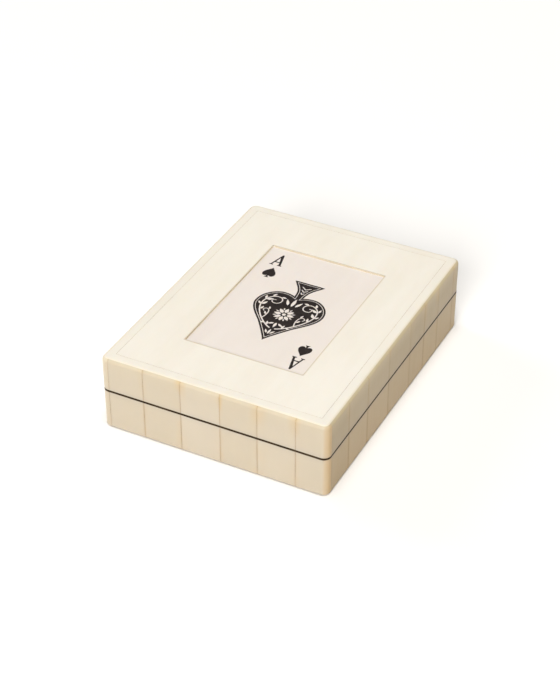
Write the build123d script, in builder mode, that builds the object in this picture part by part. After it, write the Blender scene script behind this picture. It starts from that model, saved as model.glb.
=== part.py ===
"""A lidded box for two decks of playing cards: a wooden carcass clad in bone tiles.

The cladding is laid as rows of tiles that lap one another round the corners. A mitred
border is let into the top edge of the tiles, round a panel with an inlaid card, and the
closed box is then sanded round.
A black seam strip lies where the lid meets the base.
Frame: origin at the bottom centre, +X to the right side, +Y to the back, +Z up.
"""

import os

from build123d import *

# Overall sizes, in millimetres.
WIDTH = 115.0  # across the front, along X
LENGTH = 150.0  # along the long sides, along Y
BASE_HEIGHT = 20.5  # from the resting face to the underside of the seam strip
SEAM_HEIGHT = 1.2
LID_HEIGHT = 17.3  # from the top of the seam strip to the top face

# Sanded outer form.
CORNER_RADIUS = 3.5  # upright corners
TOP_EDGE_RADIUS = 2.0
BOTTOM_EDGE_RADIUS = 1.0

# Bone cladding.
TILE_THICKNESS = 4.0
TOP_THICKNESS = 1.0  # border strips and top panel
JOINT_GAP = 0.12  # glue line between two pieces of bone
BORDER_WIDTH = 5.5  # from the side faces to the border's inner edge
BORDER_SETBACK = 1.0  # the lip of the lid's tiles that stays outside the border
SHORT_ROW_SHARES = (18.3, 19.3, 20.0, 18.7, 19.0, 15.7)  # relative tile widths, from the row's start
LONG_ROW_SHARES = (17.8, 20.1, 23.2, 24.3, 16.8, 16.8, 18.5, 8.5)

# Inlaid card.
CARD_WIDTH = 60.2
CARD_LENGTH = 89.0
CARD_RECESS = 0.6  # how far its face lies below the top panel
CARD_CENTRE = (0.4, -0.7)  # its middle, measured from the middle of the lid
CARD_CORNER_RADIUS = 0.8

# Wooden carcass.
WALL_THICKNESS = 3.0
REBATE_DEPTH = 1.5  # corner joint: how far a wall's end is let into its neighbour
BOARD_THICKNESS = 3.0  # bottom board and lid board
BOARD_SEAT = 1.2  # how far the bottom board is let into the walls
BOARD_FIT = 0.1

# Lining: strips that stand up out of the base and locate the lid, and the divider.
LINER_THICKNESS = 1.5
LIP_HEIGHT = 5.0  # how far the liners stand above the seam strip
LIP_CHAMFER = 0.7
LID_FIT = 0.3  # play between the liners and the lid's walls
DIVIDER_THICKNESS = 3.0
DIVIDER_DROP = 1.0  # the divider's top edge below the liners' top
DADO_DEPTH = 0.6  # grooves in the side liners that hold the divider
DADO_FIT = 0.1
SCOOP_WIDTH = 42.0  # thumb scoop in the divider's top edge
SCOOP_DEPTH = 9.0

# Felt.
FELT_THICKNESS = 0.8  # in the wells and under the lid board
UNDERSIDE_FELT = 0.6
FELT_FIT = 0.3
TILE_LIFT = 0.3  # the tiles' lower edge above the resting face

# Heights that follow.
SEAM_LOW = BASE_HEIGHT
SEAM_TOP = BASE_HEIGHT + SEAM_HEIGHT
HEIGHT = SEAM_TOP + LID_HEIGHT
TOP_LAYER_LOW = HEIGHT - TOP_THICKNESS
LID_BOARD_LOW = TOP_LAYER_LOW - BOARD_THICKNESS
FLOOR = UNDERSIDE_FELT + BOARD_THICKNESS
LIP_TOP = SEAM_TOP + LIP_HEIGHT
DIVIDER_TOP = LIP_TOP - DIVIDER_DROP

# Insets from the outer faces that follow.
WALL_INSET = TILE_THICKNESS
LINER_INSET = WALL_INSET + WALL_THICKNESS
WELL_INSET = LINER_INSET + LINER_THICKNESS

# Each side has its own frame: it starts at one outer corner, runs counter-clockwise along
# the side, and its second axis points into the box.
SIDES = {
    "front": ((-WIDTH / 2, -LENGTH / 2), (1, 0), WIDTH),
    "right": ((WIDTH / 2, -LENGTH / 2), (0, 1), LENGTH),
    "back": ((WIDTH / 2, LENGTH / 2), (-1, 0), WIDTH),
    "left": ((-WIDTH / 2, LENGTH / 2), (0, -1), LENGTH),
}
ROW_SHARES = {
    "front": SHORT_ROW_SHARES,
    "right": LONG_ROW_SHARES,
    "back": SHORT_ROW_SHARES,
    "left": LONG_ROW_SHARES,
}


def side_plane(side, height):
    """The horizontal plane of a side's own frame, at a height."""
    (x, y), (along_x, along_y), _ = SIDES[side]
    return Plane(origin=(x, y, height), x_dir=(along_x, along_y, 0), z_dir=(0, 0, 1))


def side_run(side):
    """The side's full outer length."""
    return SIDES[side][2]


def inner_width(inset):
    """The box's width between two opposite faces that lie this far in."""
    return WIDTH - 2 * inset


def inner_length(inset):
    """The box's length between two opposite faces that lie this far in."""
    return LENGTH - 2 * inset


def save(builder, name):
    """Label a finished piece and write it as its own file."""
    builder.part.label = name
    export_step(builder.part, f"parts/{name}.step")


def outer_form():
    """The closed box as sanded: round upright corners and eased top and bottom edges."""
    with BuildPart() as form:
        with BuildSketch(Plane.XY.offset(TILE_LIFT)):
            RectangleRounded(WIDTH, LENGTH, CORNER_RADIUS)
        extrude(amount=HEIGHT - TILE_LIFT)
        fillet(form.faces().sort_by(Axis.Z)[-1].edges(), TOP_EDGE_RADIUS)
        fillet(form.faces().sort_by(Axis.Z)[0].edges(), BOTTOM_EDGE_RADIUS)
    return form.part


def top_recess():
    """The room inside the lip of the lid's tiles, which the border and the panel fill."""
    with BuildPart() as recess:
        with BuildSketch(Plane.XY.offset(TOP_LAYER_LOW)):
            RectangleRounded(
                inner_width(BORDER_SETBACK),
                inner_length(BORDER_SETBACK),
                CORNER_RADIUS - BORDER_SETBACK,
            )
        extrude(amount=TOP_THICKNESS)
    return recess.part


def tile_row(side, low, high, form, recess):
    """One side's row of tiles between two heights, sanded to the outer form.

    The row starts behind the end of the row before it and runs on over its own far corner.
    Tiles that reach the top face are rebated there to take the edge of the border.
    """
    shares = ROW_SHARES[side]
    row_length = side_run(side) - TILE_THICKNESS
    with BuildPart() as row:
        with BuildSketch(side_plane(side, low)):
            start = TILE_THICKNESS
            for share in shares:
                width = row_length * share / sum(shares)
                centre = start + (width + JOINT_GAP) / 2
                with Locations((centre, TILE_THICKNESS / 2)):
                    Rectangle(width - JOINT_GAP, TILE_THICKNESS)
                start += width
        extrude(amount=high - low)
        add(form, mode=Mode.INTERSECT)
        add(recess, mode=Mode.SUBTRACT)
    return row


def mitred_strip(side, inset, thickness, low, high):
    """A straight strip along one side, cut at 45 degrees at both ends."""
    run = side_run(side)
    inner = inset + thickness
    with BuildPart() as strip:
        with BuildSketch(side_plane(side, low)):
            with BuildLine():
                Polyline(
                    (inset, inset),
                    (run - inset, inset),
                    (run - inner, inner),
                    (inner, inner),
                    close=True,
                )
            make_face()
        extrude(amount=high - low)
    return strip


def rebated_wall(side, thickness, low, high):
    """A carcass wall whose start is let into the wall before it and whose end takes the next.

    The wall lies against the back of the tiles. Thinner walls keep that face and lose
    thickness on the inside.
    """
    run = side_run(side)
    inner = WALL_INSET + thickness
    shoulder = inner - REBATE_DEPTH
    with BuildPart() as wall:
        with BuildSketch(side_plane(side, low)):
            with BuildLine():
                Polyline(
                    (shoulder, WALL_INSET),
                    (run - WALL_INSET, WALL_INSET),
                    (run - WALL_INSET, shoulder),
                    (run - inner, shoulder),
                    (run - inner, inner),
                    (shoulder, inner),
                    close=True,
                )
            make_face()
        extrude(amount=high - low)
    return wall


def sheet(inset, low, high):
    """A flat board or felt, centred on the box, whose edges lie this far in."""
    with BuildPart() as board:
        with BuildSketch(Plane.XY.offset(low)):
            Rectangle(inner_width(inset), inner_length(inset))
        extrude(amount=high - low)
    return board


def base_walls():
    """Four rebated walls with a ledge along the foot for the bottom board."""
    for side in SIDES:
        wall = rebated_wall(side, WALL_THICKNESS, UNDERSIDE_FELT, BASE_HEIGHT)
        with BuildPart() as cut_wall:
            add(wall.part)
            with BuildSketch(Plane.XY.offset(UNDERSIDE_FELT)):
                Rectangle(inner_width(LINER_INSET - BOARD_SEAT), inner_length(LINER_INSET - BOARD_SEAT))
            extrude(amount=BOARD_THICKNESS, mode=Mode.SUBTRACT)
        save(cut_wall, f"base_wall_{side}")


def bottom_board():
    """The board that closes the base, let into the foot of the walls."""
    board = sheet(LINER_INSET - BOARD_SEAT + BOARD_FIT, UNDERSIDE_FELT, FLOOR)
    save(board, "base_bottom_board")


def seam_strips(form):
    """The black strips on the base's rim, mitred at the corners, on which the lid rests."""
    for side in SIDES:
        blank = mitred_strip(side, 0, LINER_INSET, SEAM_LOW, SEAM_TOP)
        with BuildPart() as strip:
            add(blank.part)
            add(form, mode=Mode.INTERSECT)
        save(strip, f"seam_strip_{side}")


def liners():
    """The strips that line the base and stand up inside the lid, eased where it slips on."""
    for side in SIDES:
        blank = mitred_strip(side, LINER_INSET, LINER_THICKNESS, FLOOR, LIP_TOP)
        with BuildPart() as liner:
            add(blank.part)
            top_edges = liner.edges().group_by(Axis.Z)[-1]
            chamfer(top_edges.sort_by(SortBy.LENGTH)[-1], LIP_CHAMFER)
            if side in ("left", "right"):
                with BuildSketch(Plane.XY.offset(FLOOR)):
                    Rectangle(inner_width(WELL_INSET - DADO_DEPTH), DIVIDER_THICKNESS + 2 * DADO_FIT)
                extrude(amount=LIP_TOP - FLOOR, mode=Mode.SUBTRACT)
        save(liner, f"liner_{side}")


def divider():
    """The board between the two wells, with a thumb scoop in its top edge."""
    half = inner_width(WELL_INSET - DADO_DEPTH) / 2 - DADO_FIT
    half_scoop = SCOOP_WIDTH / 2
    with BuildPart() as board:
        with BuildSketch(Plane.XZ):
            with BuildLine():
                Polyline(
                    (-half_scoop, DIVIDER_TOP),
                    (-half, DIVIDER_TOP),
                    (-half, FLOOR),
                    (half, FLOOR),
                    (half, DIVIDER_TOP),
                    (half_scoop, DIVIDER_TOP),
                )
                ThreePointArc(
                    (half_scoop, DIVIDER_TOP),
                    (0, DIVIDER_TOP - SCOOP_DEPTH),
                    (-half_scoop, DIVIDER_TOP),
                )
            make_face()
        extrude(amount=DIVIDER_THICKNESS / 2, both=True)
    save(board, "well_divider")


def felts():
    """The felt in the two wells and under the base."""
    well_length = (inner_length(WELL_INSET) - DIVIDER_THICKNESS) / 2
    middle = (well_length + DIVIDER_THICKNESS) / 2
    for name, centre in (("well_felt_front", -middle), ("well_felt_back", middle)):
        with BuildPart() as felt:
            with BuildSketch(Plane.XY.offset(FLOOR)):
                with Locations((0, centre)):
                    Rectangle(inner_width(WELL_INSET) - 2 * FELT_FIT, well_length - 2 * FELT_FIT)
            extrude(amount=FELT_THICKNESS)
        save(felt, name)
    save(sheet(WALL_INSET + FELT_FIT, 0, UNDERSIDE_FELT), "underside_felt")


def lid_carcass():
    """The lid's walls, a little thinner than the base's to slip over the liners, and its board."""
    for side in SIDES:
        wall = rebated_wall(side, WALL_THICKNESS - LID_FIT, SEAM_TOP, LID_BOARD_LOW)
        save(wall, f"lid_wall_{side}")
    save(sheet(WALL_INSET, LID_BOARD_LOW, TOP_LAYER_LOW), "lid_board")
    lining_inset = LINER_INSET - LID_FIT + FELT_FIT
    lining = sheet(lining_inset, LID_BOARD_LOW - FELT_THICKNESS, LID_BOARD_LOW)
    save(lining, "lid_lining")


def lid_top(form, recess):
    """The mitred border, the panel inside it with its window, and the card let into the window."""
    border_run = BORDER_WIDTH - BORDER_SETBACK
    for side in SIDES:
        blank = mitred_strip(side, BORDER_SETBACK, border_run, TOP_LAYER_LOW, HEIGHT)
        with BuildPart() as strip:
            add(blank.part)
            add(form, mode=Mode.INTERSECT)
            add(recess, mode=Mode.INTERSECT)
        save(strip, f"border_strip_{side}")

    inset = BORDER_WIDTH + JOINT_GAP
    with BuildPart() as top_panel:
        with BuildSketch(Plane.XY.offset(TOP_LAYER_LOW)):
            Rectangle(inner_width(inset), inner_length(inset))
            with Locations(CARD_CENTRE):
                RectangleRounded(
                    CARD_WIDTH + 2 * JOINT_GAP,
                    CARD_LENGTH + 2 * JOINT_GAP,
                    CARD_CORNER_RADIUS + JOINT_GAP,
                    mode=Mode.SUBTRACT,
                )
        extrude(amount=TOP_THICKNESS)
    save(top_panel, "top_panel")

    with BuildPart() as card:
        with BuildSketch(Plane.XY.offset(TOP_LAYER_LOW)):
            with Locations(CARD_CENTRE):
                RectangleRounded(CARD_WIDTH, CARD_LENGTH, CARD_CORNER_RADIUS)
        extrude(amount=TOP_THICKNESS - CARD_RECESS)
    save(card, "card_panel")


def main():
    os.makedirs("parts", exist_ok=True)
    form = outer_form()
    recess = top_recess()
    for side in SIDES:
        save(tile_row(side, TILE_LIFT, SEAM_LOW, form, recess), f"base_tiles_{side}")
        save(tile_row(side, SEAM_TOP, HEIGHT, form, recess), f"lid_tiles_{side}")
    base_walls()
    bottom_board()
    seam_strips(form)
    liners()
    divider()
    felts()
    lid_carcass()
    lid_top(form, recess)


main()
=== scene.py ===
"""The looks of a bone-clad playing card box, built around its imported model.

The CAD pieces keep their shapes and get their finishes here. Added to them are the glue in
the joints, the bead round the inlaid card, the ink on the card and the felt.
Lengths are in metres; MM turns millimetres into them.
"""

import math
import random

import bmesh
import bpy
from mathutils import Matrix, Vector, noise
from mathutils.geometry import delaunay_2d_cdt, intersect_point_line


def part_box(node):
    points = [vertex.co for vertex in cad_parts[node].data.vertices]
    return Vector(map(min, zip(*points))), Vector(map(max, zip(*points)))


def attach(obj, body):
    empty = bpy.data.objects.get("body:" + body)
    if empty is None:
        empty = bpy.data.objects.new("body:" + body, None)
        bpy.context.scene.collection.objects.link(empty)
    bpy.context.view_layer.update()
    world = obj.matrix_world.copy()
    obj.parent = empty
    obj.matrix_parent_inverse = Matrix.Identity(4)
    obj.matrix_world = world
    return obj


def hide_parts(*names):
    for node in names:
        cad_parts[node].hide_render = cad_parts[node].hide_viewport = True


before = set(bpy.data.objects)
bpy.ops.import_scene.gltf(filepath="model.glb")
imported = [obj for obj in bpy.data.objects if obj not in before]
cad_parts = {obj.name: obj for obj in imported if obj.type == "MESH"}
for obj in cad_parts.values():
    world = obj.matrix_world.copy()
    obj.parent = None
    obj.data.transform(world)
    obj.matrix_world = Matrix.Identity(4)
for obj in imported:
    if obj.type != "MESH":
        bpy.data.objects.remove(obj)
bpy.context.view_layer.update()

MM = 0.001
X, Y, Z = 0, 1, 2

# Each side: the axis that it runs along, the way it starts from, and the side before it.
SIDES = {
    "front": (X, -1, "left"),
    "right": (Y, -1, "front"),
    "back": (X, 1, "right"),
    "left": (Y, 1, "back"),
}
OUTWARD = {"front": (Y, -1), "right": (X, 1), "back": (Y, 1), "left": (X, -1)}

PANEL_LOW, PANEL_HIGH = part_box("top_panel")
CARD_LOW, CARD_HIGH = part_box("card_panel")
SEAM_LOW, SEAM_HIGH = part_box("seam_strip_front")
CARD_CENTRE = (CARD_LOW + CARD_HIGH) / 2
TOP = PANEL_HIGH.z
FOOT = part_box("base_tiles_front")[0].z
FOOT_RADIUS = 1.0 * MM  # the rounding along the foot of the base's tiles
TOP_EDGE_RADIUS = 2.0 * MM  # the rounding along the top of the lid's tiles
# How much of the tiles' top edge shows outside the border.
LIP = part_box("border_strip_front")[0].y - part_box("lid_tiles_front")[0].y
JOINT_GAP = 0.12 * MM
CARD_CORNER_RADIUS = 0.92 * MM  # the window's, outside the gap round the card


def srgb(red, green, blue):
    """A colour given in the usual 0 to 255 steps, as the linear values that shaders take."""
    def linear(step):
        """One channel's linear value."""
        share = step / 255
        return share / 12.92 if share <= 0.04045 else ((share + 0.055) / 1.055) ** 2.4
    return (linear(red), linear(green), linear(blue), 1.0)


# ---------------------------------------------------------------- materials


NOISE_SPAN = (0.3, 0.7)  # where nearly all values of a noise pattern lie


class Shader:
    """One material under construction: a Principled surface and the nodes that feed it.

    Its patterns are laid out in the frame's coordinates, so their scales are waves to the metre.
    """

    def __init__(self, name, **constants):
        """A new material, with some of its surface's sockets set to constants."""
        self.material = bpy.data.materials.new(name)
        self.material.use_nodes = True
        self.tree = self.material.node_tree
        self.tree.nodes.clear()
        output = self.tree.nodes.new("ShaderNodeOutputMaterial")
        self.surface = self.tree.nodes.new("ShaderNodeBsdfPrincipled")
        self.tree.links.new(self.surface.outputs["BSDF"], output.inputs["Surface"])
        for socket, value in constants.items():
            self.surface.inputs[socket.replace("_", " ")].default_value = value
        self.place = self.node("ShaderNodeTexCoord").outputs["Object"]

    def node(self, kind, inputs=None, **settings):
        """A new node with its settings, and its inputs linked or set."""
        made = self.tree.nodes.new(kind)
        for name, value in settings.items():
            setattr(made, name, value)
        for socket, value in (inputs or {}).items():
            self.feed(made.inputs[socket], value)
        return made

    def feed(self, socket, value):
        """Link a socket to another's output, or set it to a constant."""
        if isinstance(value, bpy.types.NodeSocket):
            self.tree.links.new(value, socket)
        else:
            socket.default_value = value

    def stretched(self, scale):
        """Object coordinates scaled by axis, so that a pattern is long one way."""
        inputs = {"Vector": self.place, "Scale": scale}
        return self.node("ShaderNodeMapping", inputs).outputs["Vector"]

    def noise(self, scale, detail=3.0, place=None, roughness=0.5):
        """A noise pattern, by default in plain object coordinates."""
        inputs = {
            "Vector": place or self.place,
            "Scale": scale,
            "Detail": detail,
            "Roughness": roughness,
        }
        return self.node("ShaderNodeTexNoise", inputs).outputs["Fac"]

    def axis(self, index):
        """The place along one axis."""
        split = self.node("ShaderNodeSeparateXYZ", {"Vector": self.place})
        return split.outputs[index]

    def remap(self, value, low, high, to_low=0.0, to_high=1.0):
        """A value carried from one range to another, and kept inside it."""
        inputs = {
            "Value": value,
            "From Min": low,
            "From Max": high,
            "To Min": to_low,
            "To Max": to_high,
        }
        return self.node("ShaderNodeMapRange", inputs).outputs["Result"]

    def ramp(self, value, stops, interpolation="LINEAR"):
        """A colour ramp; each stop is a position and a grey or a colour."""
        made = self.node("ShaderNodeValToRGB", {"Fac": value})
        made.color_ramp.interpolation = interpolation
        elements = made.color_ramp.elements
        while len(elements) < len(stops):
            elements.new(1.0)
        for element, (position, colour) in zip(elements, stops):
            element.position = position
            grey = isinstance(colour, float)
            element.color = (colour, colour, colour, 1.0) if grey else colour
        return made.outputs["Color"]

    def multiply(self, first, second):
        """The product of two values."""
        made = self.node("ShaderNodeMath", operation="MULTIPLY")
        self.feed(made.inputs[0], first)
        self.feed(made.inputs[1], second)
        return made.outputs[0]

    def mix(self, share, first, second, blend="MIX"):
        """The first colour, with a share of the second mixed in or otherwise blended."""
        made = self.node("ShaderNodeMix", data_type="RGBA", blend_type=blend)
        self.feed(made.inputs[0], share)
        self.feed(made.inputs[6], first)
        self.feed(made.inputs[7], second)
        return made.outputs[2]

    def darken(self, colour, value, stops):
        """A colour multiplied by a grey ramp."""
        return self.mix(1.0, colour, self.ramp(value, stops), "MULTIPLY")

    def colour(self, value):
        """Set the surface's colour."""
        self.feed(self.surface.inputs["Base Color"], value)

    def roughness(self, pattern, low, high):
        """Let the surface's roughness follow a noise pattern between two values."""
        self.feed(self.surface.inputs["Roughness"], self.remap(pattern, *NOISE_SPAN, low, high))

    def bump(self, height, strength, distance):
        """Give the surface a fine relief."""
        inputs = {"Height": height, "Strength": strength, "Distance": distance}
        made = self.node("ShaderNodeBump", inputs)
        self.feed(self.surface.inputs["Normal"], made.outputs["Normal"])


def bone_shader(name, gloss, polish):
    """Bone with its own gloss under a thin polish, and with a little light let in."""
    return Shader(
        name,
        Specular_IOR_Level=gloss,
        Coat_Weight=polish,
        Coat_Roughness=0.2,
        Subsurface_Weight=0.12,
        Subsurface_Radius=(1.0, 0.6, 0.3),
        Subsurface_Scale=2.0 * MM,
    )


def bone_grain(shader, scale):
    """Fine streaks along the grain, with the clouding that is common in bone."""
    streaks = shader.noise(1.0, 4.0, shader.stretched(scale), 0.65)
    clouds = shader.noise(70.0, 3.0)
    return streaks, clouds


def share_of(place, low, high):
    """How far a place lies on the way from low to high, as a share of it."""
    return (place - low) / (high - low)


def height_share(z):
    """A height as a share of the box's."""
    return share_of(z, FOOT, TOP)


def tile_spans(node, axis):
    """Where each tile of a row starts and ends along the row."""
    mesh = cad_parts[node].data
    spans = []
    faces = []
    for face in mesh.polygons:
        along = [mesh.vertices[i].co[axis] for i in face.vertices]
        faces.append((min(along), max(along)))
    for low, high in sorted(faces):
        if spans and low <= spans[-1][1] + JOINT_GAP / 4:
            spans[-1][1] = max(spans[-1][1], high)
        else:
            spans.append([low, high])
    return spans


def joints(spans):
    """The gap at each joint of a row: the end of one tile and the start of the next."""
    return [(end, start) for (_, end), (start, _) in zip(spans, spans[1:])]


# The lightest and darkest tiles of a row (painted light on the left row, painted shade on the right),
# and how strong the painted shade at its rounded corner and its top is.
PALE_BONE = (srgb(204, 192, 173), srgb(199, 186, 164))
PAINTED_SHADE_BONE = (srgb(190, 171, 139), srgb(182, 163, 130))
PAINTED_LIGHT_BONE = (srgb(218, 207, 185), srgb(213, 200, 177))
# Painted light and shade: one bone, darker and warmer on the right row and lighter on the left.
ROW_TONES = {"front": PALE_BONE, "right": PAINTED_SHADE_BONE, "back": PALE_BONE, "left": PAINTED_LIGHT_BONE}
CORNER_SHADES = {"front": 1.0, "right": 0.25, "back": 0.3, "left": 0.0}
RIM_SHADES = {"front": 0.3, "right": 1.0, "back": 0.5, "left": 0.15}
AMBER = srgb(206, 168, 106)
HONEY = srgb(213, 198, 164)
BROWN = srgb(146, 112, 72)
# A cool grey that darkens the bone a little within a few millimetres of the seam.
SEAM_GREY = srgb(150, 150, 160)
SEAM_GREY_REACH = 3.0 * MM
SEAM_GREY_STRENGTH = 0.12
# How far the brown beside a joint reaches, and how strong it is next to the front row's.
LINES = {
    "front": (0.7 * MM, 1.0),
    "right": (1.2 * MM, 1.7),
    "back": (1.0 * MM, 1.3),
    "left": (0.7 * MM, 1.0),
}
# How strong the painted shade in amber is at some depths in from the corner, and the painted
# shade in honey at some below the top, with the depths in millimetres.
AMBER_DEPTHS = ((0.0, 0.62), (0.7, 0.45), (1.75, 0.28), (2.6, 0.0))
HONEY_DEPTHS = ((8.0, 0.0), (5.0, 0.2), (2.5, 0.45), (1.5, 0.55), (0.9, 0.7), (0.4, 1.0))


class TileRow:
    """One side's row of tiles: where they lie, their bone's shader, and the ramps along them."""

    def __init__(self, side):
        """Measure a side's tiles and start their shader."""
        axis, self.start_sign, _ = SIDES[side]
        self.side = side
        self.spans = tile_spans("base_tiles_" + side, axis)
        self.low, self.high = self.spans[0][0], self.spans[-1][1]
        self.shader = bone_shader("bone_tiles_" + side, 0.2, 0.0)
        self.along = self.shader.remap(self.shader.axis(axis), self.low, self.high)
        self.height = self.shader.remap(self.shader.axis(Z), FOOT, TOP)
        self.streaks, self.clouds = bone_grain(self.shader, (520, 520, 60))

    def share(self, place):
        """A place as a share of the way along the row."""
        return share_of(place, self.low, self.high)

    def tone_stops(self, rng):
        """A tone for each tile."""
        return [(self.share(start), rng.uniform(0.1, 0.9)) for start, _ in self.spans]

    def joint_stops(self, rng):
        """How strongly the glue has crept into the bone on both sides of each joint."""
        stops = [(0.0, 0.0)]
        for end, start in joints(self.spans):
            before, after = rng.uniform(1.5, 6.0) * MM, rng.uniform(1.5, 6.0) * MM
            stops += [
                (self.share(end - before), 0.0),
                (self.share(end), rng.uniform(0.15, 0.75)),
                (self.share(start), rng.uniform(0.15, 0.75)),
                (self.share(start + after), 0.0),
            ]
        return stops

    def line_stops(self, rng):
        """The thin brown line along both edges of each joint, and at the row's two ends."""
        reach, strength = LINES[self.side]
        first, last = (reach, 0.2 * reach)[:: -self.start_sign]
        stops = [(0.0, 0.2), (self.share(self.low + first), 0.0)]
        for end, start in joints(self.spans):
            depth = rng.uniform(0.14, 0.28) * strength
            stops += [
                (self.share(end - reach), 0.0),
                (self.share(end), depth),
                (self.share(start), depth),
                (self.share(start + reach), 0.0),
            ]
        return stops + [(self.share(self.high - last), 0.0), (1.0, 0.2)]

    def corner_stops(self):
        """The painted shade in amber where the last tile rounds the corner, up to the joint there."""
        corner = self.high if self.start_sign < 0 else self.low
        strength = CORNER_SHADES[self.side]
        stops = [
            (self.share(corner + self.start_sign * depth * MM), stain * strength)
            for depth, stain in AMBER_DEPTHS
        ]
        return sorted(stops)


def row_bone(row, rng):
    """A row's bone: a tone for each tile, clouds and streaks, painted shade towards the foot, and
    painted warm shade low on the right row.
    """
    shader = row.shader
    tone = shader.ramp(row.along, row.tone_stops(rng), "CONSTANT")
    colour = shader.mix(tone, *ROW_TONES[row.side])
    colour = shader.darken(colour, row.clouds, [(0.3, 0.97), (0.7, 1.0)])
    colour = shader.darken(colour, row.streaks, [(0.3, 0.992), (0.7, 1.0)])
    # Painted shade: the bone darker towards the foot.
    colour = shader.darken(colour, row.height, [(0.0, 0.955), (height_share(SEAM_LOW.z), 1.0)])
    # Painted warm shade on the right row, strongest low down and gone above the seam.
    if row.side == "right":
        stops = [(0.1, 0.22), (height_share(SEAM_LOW.z), 0.16), (height_share(SEAM_HIGH.z), 0.0)]
        colour = shader.mix(shader.ramp(row.height, stops), colour, AMBER)
    return colour


def glue_stains(row, colour, rng):
    """What the glue has left in the bone: amber patches and a brown line beside each joint."""
    shader = row.shader
    beside_joint = shader.ramp(row.along, row.joint_stops(rng))
    stops = [(0.0, 0.5), (0.2, 0.25), (0.7, 0.2), (0.86, 0.7), (0.95, 1.0)]
    near_top = shader.ramp(row.height, stops)
    patches = shader.ramp(shader.noise(90.0, 2.0), [(0.34, 0.0), (0.56, 1.0)])
    stain = shader.multiply(shader.multiply(beside_joint, near_top), patches)
    colour = shader.mix(stain, colour, AMBER)
    lines = shader.ramp(row.along, row.line_stops(rng))
    stops = [(height_share(SEAM_LOW.z), 1.0), (height_share(SEAM_HIGH.z), 0.6)]
    return shader.mix(shader.multiply(lines, shader.ramp(row.height, stops)), colour, BROWN)


def edge_shade_and_seam_grey(row, colour):
    """Painted shade: amber at the rounded corner and honey towards the top; and greyer beside the
    seam.
    """
    shader = row.shader
    # Painted shade in amber where the corner rounds away from the light.
    colour = shader.mix(shader.ramp(row.along, row.corner_stops()), colour, AMBER)
    strength = RIM_SHADES[row.side]
    # Painted shade in honey down from the top edge, strongest on the shaded right row.
    stops = [(height_share(TOP - depth * MM), stain * strength) for depth, stain in HONEY_DEPTHS]
    drifts = shader.ramp(shader.noise(45.0, 2.0), [(0.4, 0.7), (0.62, 1.0)])
    honey = shader.multiply(shader.ramp(row.height, stops), drifts)
    colour = shader.mix(honey, colour, HONEY)
    # Greyer above and below the seam.
    stops = [
        (height_share(SEAM_LOW.z - SEAM_GREY_REACH), 0.0),
        (height_share(SEAM_LOW.z), SEAM_GREY_STRENGTH),
        (height_share(SEAM_HIGH.z), SEAM_GREY_STRENGTH),
        (height_share(SEAM_HIGH.z + SEAM_GREY_REACH), 0.0),
    ]
    return shader.mix(shader.ramp(row.height, stops), colour, SEAM_GREY)


def tile_material(side):
    """The bone of one side's row: each tile its own tone, stained by the glue, with painted light and
    shade laid on, and greyer beside the seam.
    """
    row = TileRow(side)
    rng = random.Random("tiles " + side)
    colour = row_bone(row, rng)
    colour = glue_stains(row, colour, rng)
    row.shader.colour(edge_shade_and_seam_grey(row, colour))
    row.shader.roughness(row.streaks, 0.30, 0.40)
    row.shader.bump(row.streaks, 0.03, 0.05 * MM)
    return row.shader.material


def top_bone(name, light, dark):
    """A shader for the pale bone of the top, and its colour, for more to be laid over it."""
    shader = bone_shader(name, 0.35, 0.1)
    streaks, clouds = bone_grain(shader, (60, 14, 60))
    shader.roughness(clouds, 0.28, 0.36)
    return shader, shader.mix(shader.ramp(streaks, [(0.35, 0.0), (0.65, 1.0)]), light, dark)


RIM_REACH = 0.7 * MM  # how far the tan band spreads out from the window


def near_window(shader, axis):
    """1 across the window, falling to 0 outside it, along one axis of the panel."""
    low, high = PANEL_LOW[axis], PANEL_HIGH[axis]
    start, end = CARD_LOW[axis] - JOINT_GAP, CARD_HIGH[axis] + JOINT_GAP
    stops = [(start - RIM_REACH, 0.0), (start, 1.0), (end, 1.0), (end + RIM_REACH, 0.0)]
    along = shader.remap(shader.axis(axis), low, high)
    return shader.ramp(along, [(share_of(place, low, high), share) for place, share in stops])


def panel_material():
    """The top panel's bone, with a tan band on the rim round its window and a tan on the window's
    sides.
    """
    shader, colour = top_bone("bone_top_panel", srgb(235, 229, 218), srgb(231, 224, 211))
    rim = shader.multiply(near_window(shader, X), near_window(shader, Y))
    colour = shader.mix(rim, colour, srgb(196, 179, 150))
    # A tan on the panel's faces below its top, the window's sides among them.
    below = shader.remap(shader.axis(Z), TOP - 0.12 * MM, TOP - 0.02 * MM, 1.0, 0.0)
    shader.colour(shader.mix(below, colour, srgb(230, 221, 203)))
    return shader.material


def border_material():
    """The border's bone, with painted shade making it a little darker and yellower where it rounds
    over.
    """
    shader, colour = top_bone("bone_border", srgb(234, 228, 216), srgb(230, 223, 210))
    over = shader.remap(shader.axis(Z), TOP - 0.3 * MM, TOP)
    # Painted shade on the rounding of the outer edge.
    rounded = shader.ramp(over, [(0.0, 0.45), (0.8, 0.3), (0.96, 0.15), (1.0, 0.0)])
    shader.colour(shader.mix(rounded, colour, srgb(224, 206, 172)))
    return shader.material


def card_material():
    """The card plate, whiter and cooler than the bone."""
    shader, colour = top_bone("card_plate", srgb(231, 221, 213), srgb(228, 217, 208))
    shader.colour(colour)
    return shader.material


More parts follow.
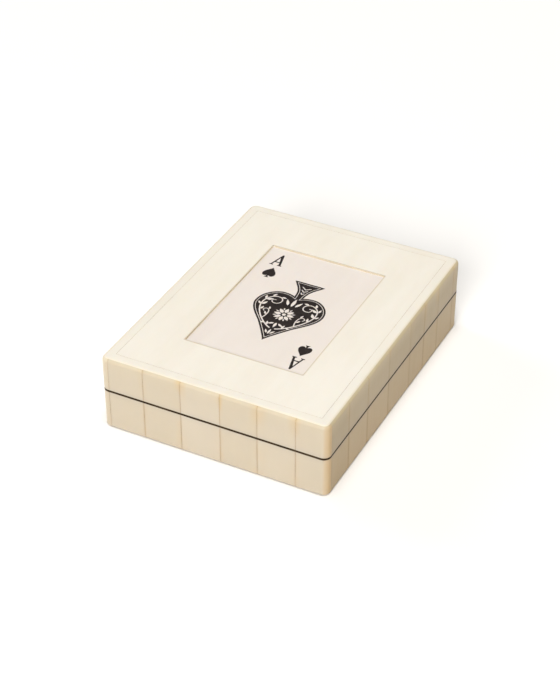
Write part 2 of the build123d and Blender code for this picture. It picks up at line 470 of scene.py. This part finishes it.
def seam_material():
    """Black dyed stringing, a little brown where it is worn and paler along its two edges."""
    shader = Shader("black_stringing", Specular_IOR_Level=0.1)
    tones = [(0.35, srgb(38, 29, 19)), (0.75, srgb(66, 52, 36))]
    worn = shader.ramp(shader.noise(220.0, 4.0), tones)
    across = shader.remap(shader.axis(Z), SEAM_LOW.z, SEAM_HIGH.z)
    edges = [(0.0, 0.0), (0.02, 0.7), (0.18, 0.0), (0.82, 0.0), (0.98, 0.7), (1.0, 0.0)]
    shader.colour(shader.mix(shader.ramp(across, edges), worn, srgb(136, 108, 74)))
    shader.roughness(shader.noise(500.0, 2.0), 0.45, 0.65)
    return shader.material


def glue_material():
    """Dark glue and old polish in a joint."""
    shader = Shader("joint_glue")
    tones = [(0.3, srgb(104, 70, 40)), (0.55, srgb(162, 114, 64)), (0.8, srgb(202, 160, 104))]
    shader.colour(shader.ramp(shader.noise(160.0, 3.0), tones))
    shader.roughness(shader.noise(700.0, 2.0), 0.4, 0.7)
    return shader.material


def fine_glue_material():
    """Paler glue in the tight joints of the top."""
    shader = Shader("fine_joint_glue")
    tones = [(0.3, srgb(150, 120, 84)), (0.6, srgb(196, 168, 128)), (0.8, srgb(214, 190, 152))]
    shader.colour(shader.ramp(shader.noise(90.0, 3.0), tones))
    shader.roughness(shader.noise(700.0, 2.0), 0.4, 0.6)
    return shader.material


def bead_material():
    """The amber bead of glue round the card."""
    shader = Shader("amber_bead", Coat_Weight=0.3)
    tones = [(0.3, srgb(192, 175, 148)), (0.55, srgb(212, 197, 170)), (0.8, srgb(226, 214, 191))]
    shader.colour(shader.ramp(shader.noise(60.0, 3.0), tones))
    shader.roughness(shader.noise(500.0, 2.0), 0.25, 0.45)
    return shader.material


def ink_material():
    """Printing ink, a little uneven."""
    shader = Shader("black_ink")
    tones = [(0.35, srgb(25, 17, 16)), (0.7, srgb(43, 34, 31))]
    shader.colour(shader.ramp(shader.noise(420.0, 4.0), tones))
    shader.roughness(shader.noise(900.0, 2.0), 0.38, 0.55)
    return shader.material


def grain_scale(axis, across, along):
    """Noise scales for a grain along one axis: waves to the metre across and along it."""
    scale = [across] * 3
    scale[axis] = along
    return scale


def wood_material(name, axis, light, dark):
    """Straight-grained hardwood whose grain runs along one axis."""
    shader = Shader(name, Coat_Weight=0.08)
    figure = shader.noise(1.0, 5.0, shader.stretched(grain_scale(axis, 420.0, 18.0)), 0.6)
    pore = shader.noise(1.0, 3.0, shader.stretched(grain_scale(axis, 1500.0, 70.0)), 0.6)
    colour = shader.ramp(figure, [(0.32, dark), (0.52, light), (0.7, dark)])
    shader.colour(shader.darken(colour, pore, [(0.36, 0.62), (0.5, 1.0)]))
    shader.roughness(pore, 0.62, 0.42)
    shader.bump(pore, 0.3, 0.08 * MM)
    return shader.material


def felt_material():
    """Dark green wool felt."""
    shader = Shader("green_felt", Sheen_Weight=0.5, Sheen_Roughness=0.5)
    fibres = shader.noise(2600.0, 4.0, roughness=0.7)
    colour = shader.mix(fibres, srgb(16, 44, 30), srgb(44, 86, 62))
    shader.colour(shader.darken(colour, shader.noise(60.0, 3.0), [(0.3, 0.85), (0.7, 1.0)]))
    shader.roughness(fibres, 0.85, 1.0)
    shader.bump(fibres, 0.6, 0.2 * MM)
    return shader.material


# ---------------------------------------------------------------- meshes


def mesh_piece(name, vertices, faces, material, body, slot):
    """A new piece from its corners and faces, riding on a body."""
    mesh = bpy.data.meshes.new(name)
    mesh.from_pydata([tuple(v) for v in vertices], [], faces)
    edit = bmesh.new()
    edit.from_mesh(mesh)
    bmesh.ops.recalc_face_normals(edit, faces=edit.faces)
    edit.to_mesh(mesh)
    edit.free()
    mesh.materials.append(material)
    piece = bpy.data.objects.new(name, mesh)
    bpy.context.scene.collection.objects.link(piece)
    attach(piece, body)
    return piece


def prism(profile, low, high, place):
    """Corners and faces of a prism: an outline carried between two values.

    Place turns each point of the outline and a value into a point in space.
    """
    count = len(profile)
    vertices = [place(a, b, low) for a, b in profile] + [place(a, b, high) for a, b in profile]
    faces = [[i, (i + 1) % count, (i + 1) % count + count, i + count] for i in range(count)]
    faces += [list(range(count)), list(range(count, 2 * count))]
    return vertices, faces


def gather(parts):
    """Several vertex and face lists as one."""
    vertices, faces = [], []
    for some_vertices, some_faces in parts:
        start = len(vertices)
        vertices += some_vertices
        faces += [[i + start for i in face] for face in some_faces]
    return vertices, faces


GLUE_DEPTH = 3.2 * MM  # how far in from the side face a joint's glue goes
GLUE_STEP = 0.9 * MM  # between the points up its uneven outside
GLUE_INSET = (0.02 * MM, 0.08 * MM)  # how far in from the side face that outside lies


def arc_inset(radius, rise):
    """How far in from the side face a rounding is, at some rise from where it starts."""
    return radius - math.sqrt(max(radius**2 - max(rise, 0.0) ** 2, 0.0))


def glue_face(rng, low, high, inset_at):
    """Points up the outside of a joint's glue: how far in from the face, and the height."""
    steps = round((high - low) / GLUE_STEP)
    heights = [low + (high - low) * i / steps for i in range(steps + 1)]
    return [(inset_at(height) + rng.uniform(*GLUE_INSET), height) for height in heights]


def base_glue_profile(rng):
    """The glue between two tiles of the base, seen end on."""
    start = FOOT + FOOT_RADIUS
    face = glue_face(rng, FOOT, SEAM_LOW.z, lambda z: arc_inset(FOOT_RADIUS, start - z))
    return face + [(GLUE_DEPTH, SEAM_LOW.z), (GLUE_DEPTH, FOOT)]


def lid_glue_profile(rng):
    """The glue between two tiles of the lid, seen end on: it ends in the lip outside the border."""
    start = TOP - TOP_EDGE_RADIUS
    crest = start + math.sqrt(TOP_EDGE_RADIUS**2 - (TOP_EDGE_RADIUS - LIP) ** 2)
    end = crest - GLUE_INSET[1]
    face = glue_face(rng, SEAM_HIGH.z, end, lambda z: arc_inset(TOP_EDGE_RADIUS, z - start))
    ledge = PANEL_LOW.z
    behind = [(LIP, face[-1][1]), (LIP, ledge), (GLUE_DEPTH, ledge), (GLUE_DEPTH, SEAM_HIGH.z)]
    return [(min(inset, LIP), height) for inset, height in face] + behind


def side_glue(level, side, profile, material):
    """The glue in every upright joint of one row, and where the row meets the one before it."""
    axis, start_sign, neighbour = SIDES[side]
    outward_axis, outward_sign = OUTWARD[side]
    rng = random.Random(f"glue {level} {side}")
    row = f"{level}_tiles_{side}"
    spans = tile_spans(row, axis)
    gaps = joints(spans)
    neighbour_low, neighbour_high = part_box(f"{level}_tiles_{neighbour}")
    if start_sign < 0:
        gaps.append((neighbour_high[axis], spans[0][0]))
    else:
        gaps.append((spans[-1][1], neighbour_low[axis]))
    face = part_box(row)[1 if outward_sign > 0 else 0][outward_axis]

    def place(inset, height, along):
        """The point in space that lies so far in from the side face."""
        point = [0.0, 0.0, height]
        point[axis] = along
        point[outward_axis] = face - outward_sign * inset
        return tuple(point)

    parts = [prism(profile(rng), a, b, place) for a, b in gaps]
    name = f"glue_{level}_{side}"
    return mesh_piece(name, *gather(parts), material, level, "side_tiles")


def rounded_rectangle(low, high, inset, radius, height, steps=5):
    """Points round a rectangle with round corners, drawn in by inset, at one height."""
    points = []
    corner = max(radius - inset, 0.0)
    x0, x1 = low.x + inset + corner, high.x - inset - corner
    y0, y1 = low.y + inset + corner, high.y - inset - corner
    for quarter, (x, y) in enumerate(((x1, y1), (x0, y1), (x0, y0), (x1, y0))):
        for step in range(steps + 1):
            angle = math.pi / 2 * (quarter + step / steps)
            points.append((x + corner * math.cos(angle), y + corner * math.sin(angle), height))
    return points


def ring_piece(name, rings, material, body, slot):
    """A closed band whose section is given by rings of points, one for each of its corners."""
    count = len(rings[0])
    vertices = [point for ring in rings for point in ring]
    faces = []
    for a in range(len(rings)):
        b = (a + 1) % len(rings)
        for i in range(count):
            j = (i + 1) % count
            faces.append([a * count + i, a * count + j, b * count + j, b * count + i])
    return mesh_piece(name, vertices, faces, material, body, slot)


BOARD_CLEARANCE = 0.05 * MM  # between the top's glue and the board below it
LINE_DROP = 0.04 * MM  # how far below the top the glue line round the panel lies


def panel_glue(material):
    """The fine glue line between the border strips and the top panel."""
    low, high = PANEL_LOW, PANEL_HIGH
    face = TOP - LINE_DROP
    bottom = PANEL_LOW.z + BOARD_CLEARANCE
    sections = ((0.0, bottom), (0.0, face), (-JOINT_GAP, face), (-JOINT_GAP, bottom))
    rings = [rounded_rectangle(low, high, inset, 0.0, height, 1) for inset, height in sections]
    return ring_piece("glue_border", rings, material, "lid", "top_panel")


BEAD_RISE = 0.35 * MM  # how far the bead climbs above the card
BEAD_REACH = 0.22 * MM  # how far it spreads onto the card
SKIN = 0.01 * MM  # how far glue and ink sink into the card, and the bead's edge stands above it


def card_bead(material):
    """The bead of glue that fills the gap round the card and climbs the window's sides."""
    gap = Vector((JOINT_GAP, JOINT_GAP, 0))
    low, high = CARD_LOW - gap, CARD_HIGH + gap
    face = CARD_HIGH.z
    bottom = CARD_LOW.z + BOARD_CLEARANCE
    sections = (
        (0.0, bottom),
        (0.0, face + BEAD_RISE),
        (0.3 * BEAD_REACH, face + 0.45 * BEAD_RISE),
        (JOINT_GAP + BEAD_REACH, face + SKIN),
        (JOINT_GAP, face - SKIN),
        (JOINT_GAP, bottom),
    )
    radius = CARD_CORNER_RADIUS
    rings = [rounded_rectangle(low, high, inset, radius, height) for inset, height in sections]
    return ring_piece("glue_card_bead", rings, material, "lid", "card")


# ---------------------------------------------------------------- the ink on the card

INK_THICKNESS = 0.03 * MM


def bezier(start, *segments, steps=10):
    """Points along joined cubic curves; each segment is two handles and an end, in millimetres."""
    points = [Vector(start)]
    for first, second, end in segments:
        a, b, c, d = points[-1], Vector(first), Vector(second), Vector(end)
        for step in range(1, steps + 1):
            t = step / steps
            s = 1 - t
            points.append(s**3 * a + 3 * s * s * t * b + 3 * s * t * t * c + t**3 * d)
    return points


def heading(angle):
    """A step of one millimetre at an angle."""
    return Vector((math.cos(angle), math.sin(angle)))


def mirror(outline):
    """The mirror image of an outline across the spade's axis."""
    return [Vector((-p.x, p.y)) for p in reversed(outline)]


def closed(half):
    """A whole outline from its right half, which starts and ends on the axis."""
    return half + mirror(half)[1:-1]


def spade_outline():
    """The large spade with its tip at the origin and its stem upwards."""
    half = bezier(
        (0, 0),
        ((0.7, 2.3), (8.2, 12.4), (9.1, 13.5)),
        ((13.3, 18.3), (17.8, 22.7), (17.8, 28.0)),
        ((17.8, 35.3), (11.8, 39.6), (8.0, 39.6)),
        ((5.4, 39.6), (3.7, 39.2), (2.3, 38.4)),
        ((2.7, 43.9), (3.4, 44.6), (7.9, 50.8)),
    )
    return closed(half + bezier((7.9, 50.8), ((5.0, 51.2), (2.0, 50.9), (0, 50.9)), steps=4)[1:])


def small_spade_outline():
    """The plain spade of the indices, tip up, on its middle."""
    half = bezier(
        (0, 4.4),
        ((0.7, 2.8), (3.3, 1.0), (3.3, -1.2)),
        ((3.3, -3.3), (1.3, -3.9), (0.4, -2.5)),
        ((0.4, -3.3), (0.6, -3.9), (1.3, -4.4)),
        steps=7,
    )
    return closed(half + [Vector((0, -4.4))])


def letter_a():
    """The index letter on its middle: its outline, and the opening above its crossbar."""
    outline = (
        (-0.35, 4.85), (0.45, 4.85), (2.6, -4.2), (3.2, -4.4), (3.2, -4.85), (0.8, -4.85), (0.8, -4.4),
        (1.4, -4.2), (1.0, -2.3), (-1.4, -2.3), (-1.9, -4.2), (-1.3, -4.4), (-1.3, -4.85),
        (-3.3, -4.85), (-3.3, -4.4), (-2.7, -4.2),
    )  # fmt: skip
    opening = ((-0.35, 2.3), (0.8, -1.6), (-1.2, -1.6))
    return [[Vector(p) for p in outline], [Vector(p) for p in opening]]


def area(outline):
    """The area inside an outline, negative where its points run clockwise."""
    return sum(outline[i - 1].cross(outline[i]) for i in range(len(outline))) / 2


MITRE_LIMIT = 0.35  # keeps a sharp corner from being drawn in too far
LEAST_SHARE = 0.97  # of the distance: a point nearer to an edge is left out


def drawn_in(outline, distance):
    """An outline drawn inwards by a distance, less the points that then lie too near an edge."""
    count = len(outline)
    edges = [(outline[i - 1], outline[i]) for i in range(count)]
    drawn = []
    for i, point in enumerate(outline):
        before = (point - outline[i - 1]).normalized()
        after = (outline[(i + 1) % count] - point).normalized()
        along = (before + after).normalized()
        inward = Vector((-along.y, along.x)) * math.copysign(1, area(outline))
        moved = point + inward * distance / max(MITRE_LIMIT, before.dot(along))
        if min(edge_distance(moved, *edge) for edge in edges) > LEAST_SHARE * distance:
            drawn.append(moved)
    return drawn


def edge_distance(point, start, end):
    """How far a point lies from a straight edge."""
    nearest, share = intersect_point_line(point, start, end)
    if not 0 <= share <= 1:
        nearest = start if share < 0 else end
    return (point - nearest).length


def leaf(root, angle, length, width, bend=0.0, steps=8):
    """A pointed leaf that grows from its root; bend curves it to its left."""
    side = heading(angle + math.pi / 2)
    upper, lower = [], []
    for step in range(steps + 1):
        t = step / steps
        spine = Vector(root) + heading(angle) * (length * t) + side * (bend * length * t * t)
        half = width / 2 * math.sin(math.pi * t**0.8)
        upper.append(spine + side * half)
        lower.append(spine - side * half)
    return upper + lower[-2:0:-1]


def disc(centre, radius, count=14):
    """The outline of a round dot."""
    return [Vector(centre) + radius * heading(math.tau * i / count) for i in range(count)]


def vine(path, thick, thin):
    """A stem along a path that tapers from thick to thin."""
    left, right = [], []
    last = len(path) - 1
    for i, point in enumerate(path):
        along = (path[min(i + 1, last)] - path[max(i - 1, 0)]).normalized()
        half = (thick + (thin - thick) * i / last) / 2
        side = Vector((-along.y, along.x)) * half
        left.append(point + side)
        right.append(point - side)
    return left + right[::-1]


def vine_leaves(path, places, length, width):
    """Leaves along a path. Each place is a share of the path and the side that it grows on."""
    leaves = []
    for share, side, scale in places:
        i = min(int(share * (len(path) - 1)), len(path) - 2)
        along = path[i + 1] - path[i]
        angle = math.atan2(along.y, along.x) + side * 0.75
        root = path[i] + 0.35 * side * Vector((-along.y, along.x)).normalized()
        leaves.append(leaf(root, angle, length * scale, width * scale, -0.12 * side))
    return leaves


ROSETTE_CENTRE = Vector((0, 22.6))


def rosette():
    """A flower of eight petals with a small leaf between each pair."""
    figures = [disc(ROSETTE_CENTRE, 0.95)]
    for petal in range(8):
        angle = math.tau * petal / 8
        figures.append(leaf(ROSETTE_CENTRE + 1.5 * heading(angle), angle, 3.7, 2.0))
        angle += math.tau / 16
        figures.append(leaf(ROSETTE_CENTRE + 3.6 * heading(angle), angle, 1.9, 0.75))
    return figures


def lobe_scroll():
    """The leafy scroll that climbs one side of the spade and curls into its lobe."""
    scroll = bezier(
        (1.2, 10.2),
        ((5.4, 11.8), (12.8, 19.3), (13.9, 26.0)),
        ((14.8, 32.2), (10.4, 35.8), (7.4, 34.6)),
        ((4.4, 33.2), (5.6, 28.4), (9.2, 29.4)),
        ((11.2, 30.2), (10.2, 32.6), (8.6, 31.9)),
    )
    branch = bezier(
        (8.6, 15.6),
        ((7.2, 18.0), (7.0, 22.8), (8.9, 23.7)),
        ((10.7, 24.3), (11.3, 22.1), (9.9, 21.5)),
    )
    outer = ((0.08, 0.75), (0.25, 0.8), (0.33, 0.9), (0.41, 0.9), (0.5, 0.85))
    inner = ((0.06, 0.9), (0.2, 0.9), (0.26, 1.15), (0.33, 1.15))
    places = [(share, -1, scale) for share, scale in outer]
    places += [(share, 1, scale) for share, scale in inner]
    figures = [vine(scroll, 0.75, 0.4), vine(branch, 0.6, 0.4)]
    figures += vine_leaves(scroll, places, 3.1, 1.35)
    figures += vine_leaves(branch, ((0.2, -1, 0.9), (0.45, 1, 0.8)), 2.9, 1.2)
    return figures


def chevron(rise):
    """One arm of a chevron in the stem."""
    root = Vector((0, 41.2 + rise))
    tip = Vector((0.9 + 0.33 * rise, 42.6 + 1.1 * rise))
    return vine([root, tip], 0.55, 0.45)


def spade_ornament():
    """The large spade's pale figures: a rosette, a scroll in each lobe, sprigs and chevrons."""
    half = lobe_scroll() + [chevron(rise) for rise in (0, 2.2, 4.4)]
    half += [
        leaf((1.9, 30.2), math.radians(70), 5.2, 1.4, -0.1),
        leaf((1.1, 14.8), math.radians(-38), 3.4, 1.2, 0.15),
        leaf((0.9, 5.9), math.radians(66), 3.2, 1.0, -0.1),
    ]
    middle = [
        leaf((0, 29.8), math.pi / 2, 6.8, 1.7),
        leaf((0, 15.2), -math.pi / 2, 4.2, 1.4),
        leaf((0, 5.3), math.pi / 2, 4.4, 1.1),
    ]
    return rosette() + middle + half + [mirror(figure) for figure in half]


def inked(loops):
    """The first loop filled, less the others: its points and the triangles between them."""
    loops = [loop if area(loop) > 0 else loop[::-1] for loop in loops]
    points = [p for loop in loops for p in loop]
    faces, start = [], 0
    for loop in loops:
        faces.append(list(range(start, start + len(loop))))
        start += len(loop)
    points, _, triangles, _, _, sources = delaunay_2d_cdt(points, [], faces, 1, 1e-5)
    return points, [triangle for triangle, source in zip(triangles, sources) if list(source) == [0]]


def ink_plate(loops, turn, centre):
    """Corners and faces of one thin plate of ink, turned and moved to its place on the card."""
    flat, triangles = inked(loops)
    count = len(flat)
    turned = [Matrix.Rotation(turn, 2) @ p + Vector(centre) + CARD_CENTRE.xy / MM for p in flat]
    heights = (CARD_HIGH.z - SKIN, CARD_HIGH.z + INK_THICKNESS)
    vertices = [(p.x * MM, p.y * MM, height) for height in heights for p in turned]
    edges = {(a, b) for t in triangles for a, b in zip(t, list(t[1:]) + [t[0]])}
    walls = [[a, b, b + count, a + count] for a, b in edges if (b, a) not in edges]
    faces = [list(t) for t in triangles] + [[i + count for i in t] for t in triangles]
    return vertices, faces + walls


# Where the figures stand, in millimetres from the middle of the card.
SPADE_TIP = (1.05, -28.3)
INDEX_LETTERS = ((-21.75, 34.8, 0.0), (22.45, -37.8, math.pi))
INDEX_PIPS = ((-21.2, 23.2, 0.0), (22.35, -27.35, math.pi))
PALE_LINE = (0.9, 1.2)  # the line inside the spade's edge: how far in it starts and ends


def card_print(material):
    """The ace of spades: a large spade, tip towards the front, and an index in two corners."""
    outline = spade_outline()
    edge = [outline, drawn_in(outline, PALE_LINE[0])]
    field = [drawn_in(outline, PALE_LINE[1]), *spade_ornament()]
    figures = {"ink_large_spade": [(edge, 0.0, SPADE_TIP), (field, 0.0, SPADE_TIP)]}
    for i, (x, y, turn) in enumerate(INDEX_LETTERS):
        figures[f"ink_index_letter_{i + 1}"] = [(letter_a(), turn, (x, y))]
    for i, (x, y, turn) in enumerate(INDEX_PIPS):
        figures[f"ink_index_spade_{i + 1}"] = [([small_spade_outline()], turn, (x, y))]
    for name, plates in figures.items():
        mesh_piece(name, *gather([ink_plate(*plate) for plate in plates]), material, "lid", "card")


# ---------------------------------------------------------------- felt

FELT_CELL = 2.5 * MM  # the cells of the grid that a sheet is made of
FELT_EASE = 0.22 * MM  # how far the felt's cut edge is rounded off
FELT_RIPPLE = 0.05 * MM  # how deep the hollows of its open face are
FELT_RIPPLE_SCALE = 400  # how close they lie, in waves to the metre


def felt_grid(low, high, face_sign):
    """Corners and faces of a sheet that fills a box, with an eased edge round its open face."""
    size = high - low
    across, along = (max(8, round(size[axis] / FELT_CELL)) for axis in (X, Y))
    open_layer = 1 if face_sign > 0 else 0

    def sink(x, y, at_edge):
        """How far the open face lies inside the box."""
        if at_edge:
            return FELT_EASE
        return FELT_RIPPLE * (0.5 + 0.5 * noise.noise(Vector((x, y, 0.3)) * FELT_RIPPLE_SCALE))

    def place(i, j, layer):
        """One corner of the grid, in space."""
        x = low.x + size.x * i / across
        y = low.y + size.y * j / along
        z = (low, high)[layer].z
        if layer == open_layer:
            z -= face_sign * sink(x, y, i in (0, across) or j in (0, along))
        return (x, y, z)

    def index(i, j, layer):
        """The number of one corner of the grid."""
        return (layer * (across + 1) + i) * (along + 1) + j

    columns, rows = range(across + 1), range(along + 1)
    vertices = [place(i, j, layer) for layer in (0, 1) for i in columns for j in rows]
    faces = []
    for layer in (0, 1):
        for i in range(across):
            for j in range(along):
                cell = ((i, j), (i + 1, j), (i + 1, j + 1), (i, j + 1))
                faces.append([index(*corner, layer) for corner in cell])
    rim = [(i, 0) for i in range(across)] + [(across, j) for j in range(along)]
    rim += [(i, along) for i in range(across, 0, -1)] + [(0, j) for j in range(along, 0, -1)]
    for a, b in zip(rim, rim[1:] + rim[:1]):
        faces.append([index(*a, 0), index(*b, 0), index(*b, 1), index(*a, 1)])
    return vertices, faces


def felt_sheet(node, body, face_sign, material):
    """A glued felt sheet in place of the plain CAD one, facing up or down by face_sign."""
    low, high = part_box(node)
    vertices, faces = felt_grid(low, high, face_sign)
    piece = mesh_piece("felt_" + node, vertices, faces, material, body, "felt")
    for face in piece.data.polygons:
        face.use_smooth = True
    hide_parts(node)
    return piece


# ---------------------------------------------------------------- finishes of the CAD pieces


def finish_node(name, material):
    """Give a CAD piece its finish."""
    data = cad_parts[name].data
    data.materials.clear()
    data.materials.append(material)


def finish_cad_pieces():
    """Bone outside, black stringing in the seam, and hardwood inside."""
    border = border_material()
    panel = panel_material()
    card = card_material()
    seam = seam_material()
    wood = {
        axis: wood_material("hardwood_" + "xyz"[axis], axis, srgb(150, 98, 58), srgb(104, 62, 34))
        for axis in (X, Y)
    }
    for side, (axis, _, _) in SIDES.items():
        tiles = tile_material(side)
        finish_node("base_tiles_" + side, tiles)
        finish_node("lid_tiles_" + side, tiles)
        finish_node("border_strip_" + side, border)
        finish_node("seam_strip_" + side, seam)
        for kind in ("base_wall_", "lid_wall_", "liner_"):
            finish_node(kind + side, wood[axis])
    finish_node("top_panel", panel)
    finish_node("card_panel", card)
    finish_node("well_divider", wood[X])
    finish_node("base_bottom_board", wood[Y])
    finish_node("lid_board", wood[Y])


# ---------------------------------------------------------------- studio

CAMERA_AIM = Vector((-1.69, -4.19, 15.42)) * MM
CAMERA_HEADING = math.radians(26.94)
CAMERA_PITCH = math.radians(36.09)
CAMERA_DISTANCE = 837.4 * MM
CAMERA_LENS = 90.11


def add_camera():
    """The camera at the photograph's angle."""
    data = bpy.data.cameras.new("camera")
    data.lens = CAMERA_LENS
    data.sensor_width = 36.0
    data.clip_start = 0.01
    data.clip_end = 20.0
    camera = bpy.data.objects.new("camera", data)
    bpy.context.scene.collection.objects.link(camera)
    forward = Vector(
        (
            -math.sin(CAMERA_HEADING) * math.cos(CAMERA_PITCH),
            math.cos(CAMERA_HEADING) * math.cos(CAMERA_PITCH),
            -math.sin(CAMERA_PITCH),
        )
    )
    camera.location = CAMERA_AIM - forward * CAMERA_DISTANCE
    camera.rotation_mode = "QUATERNION"
    camera.rotation_quaternion = forward.to_track_quat("-Z", "Y")
    bpy.context.scene.camera = camera


# The soft lights: where each stands, and its power in watts.
LIGHTS = {
    "overhead": ((0.3, -0.6, 6.0), 237.0),
    "front": ((1.0, -5.6, 3.2), 300.0),
    "left fill": ((-5.4, 1.0, 2.6), 90.0),
}
LIGHT_AIM = (0, 0, 0.02)
LIGHT_SIZE = 2.4
LIGHT_COLOUR = (1.0, 0.99, 0.97)
SURROUND_COLOUR = (1.0, 0.96, 0.9, 1.0)
SURROUND_STRENGTH = 0.15
FLOOR_HALF = 3.0  # half the floor's length and width


def add_light(name, place, power):
    """A square soft light that faces the box."""
    data = bpy.data.lights.new(name, "AREA")
    data.size = LIGHT_SIZE
    data.energy = power
    data.color = LIGHT_COLOUR
    light = bpy.data.objects.new(name, data)
    bpy.context.scene.collection.objects.link(light)
    light.location = place
    light.rotation_mode = "QUATERNION"
    light.rotation_quaternion = (Vector(LIGHT_AIM) - Vector(place)).to_track_quat("-Z", "Y")


def add_surround():
    """A dim warm surround."""
    world = bpy.data.worlds.new("surround")
    world.use_nodes = True
    background = world.node_tree.nodes["Background"]
    background.inputs["Color"].default_value = SURROUND_COLOUR
    background.inputs["Strength"].default_value = SURROUND_STRENGTH
    bpy.context.scene.world = world


def add_floor():
    """A plain pale floor."""
    mesh = bpy.data.meshes.new("floor")
    corners = [(-1, -1), (1, -1), (1, 1), (-1, 1)]
    mesh.from_pydata([(x * FLOOR_HALF, y * FLOOR_HALF, 0) for x, y in corners], [], [(0, 1, 2, 3)])
    shader = Shader("pale_floor", Roughness=0.8)
    tone = shader.noise(3.0, 2.0)
    shader.colour(shader.mix(tone, srgb(247, 246, 245), srgb(245, 244, 242)))
    mesh.materials.append(shader.material)
    floor = bpy.data.objects.new("floor", mesh)
    bpy.context.scene.collection.objects.link(floor)


def add_studio():
    """The surround and the floor, and soft lights overhead, in front and, weaker, on the left."""
    bpy.context.scene.view_settings.view_transform = "Standard"
    add_surround()
    add_floor()
    for name, (place, power) in LIGHTS.items():
        add_light(name, place, power)


# ---------------------------------------------------------------- assembly

finish_cad_pieces()

glue = glue_material()
for side in SIDES:
    side_glue("base", side, base_glue_profile, glue)
    side_glue("lid", side, lid_glue_profile, glue)
panel_glue(fine_glue_material())
card_bead(bead_material())
card_print(ink_material())

felt = felt_material()
felt_sheet("well_felt_front", "base", 1, felt)
felt_sheet("well_felt_back", "base", 1, felt)
felt_sheet("underside_felt", "base", -1, felt)
felt_sheet("lid_lining", "lid", -1, felt)

add_camera()
add_studio()
